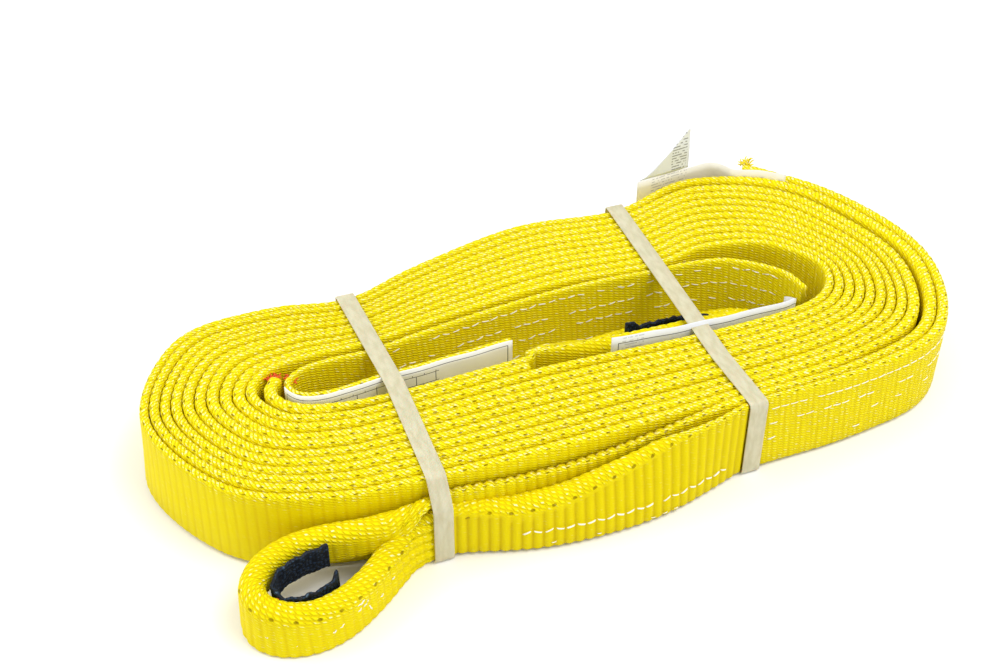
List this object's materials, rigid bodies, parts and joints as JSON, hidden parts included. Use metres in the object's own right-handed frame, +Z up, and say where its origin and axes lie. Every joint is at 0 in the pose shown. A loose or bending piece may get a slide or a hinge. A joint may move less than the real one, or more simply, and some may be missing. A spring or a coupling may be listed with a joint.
{
  "type": "flat web sling",
  "caption": "Flat web lifting sling with folded eyes, wound into an oblong coil, standing on edge and held by plastic bands.",
  "frame": {"origin": "centre of the bounding box in plan, at the level that the bands rest on", "axes": "+X along the coil towards its rounded right end, +Y to the back, +Z up along the width of the web"},
  "size_m": [0.4666, 0.2504, 0.0856],
  "materials": {
    "webbing": "woven polyester, matte with a slight sheen",
    "eye_lining": "dense dark woven wear pad",
    "strapping_band": "milky ribbed polypropylene",
    "label": "printed white tape",
    "thread": "white sewing thread"
  },
  "bodies": {
    "coil": {"body_web": "webbing", "outer_return_ply": "webbing", "outer_splice_ply": "webbing", "inner_return_ply": "webbing", "inner_splice_ply": "webbing", "inner_eye_loop": "webbing", "inner_eye_lining": "eye_lining", "left_band": "strapping_band", "right_band": "strapping_band", "label_inner_left": "label", "label_inner_right": "label", "label_outer_strip": "label", "outer_splice_stitching_1": "thread", "outer_splice_stitching_2": "thread", "outer_splice_stitching_3": "thread", "outer_splice_stitching_4": "thread", "inner_splice_stitching_1": "thread", "inner_splice_stitching_2": "thread", "inner_splice_stitching_3": "thread", "inner_splice_stitching_4": "thread", "outer_return_stitching_1": "thread", "outer_return_stitching_2": "thread"},
    "outer_eye": {"outer_eye_loop": "webbing", "outer_eye_lining": "eye_lining"},
    "label_flap": {"label_outer_flap": "label"}
  },
  "joints": [
    {"name": "outer_eye_swing", "type": "hinge", "parent": "coil", "child": "outer_eye", "pos_m": [-0.11225, -0.08445, 0.0176], "axis": [0, 0, 1], "range_deg": [0, 25]},
    {"name": "label_flap_fold", "type": "hinge", "parent": "coil", "child": "label_flap", "pos_m": [0.09795, 0.12015, 0.0556], "axis": [0.9936, 0.1132, 0], "range_deg": [-100, 90]}
  ]
}
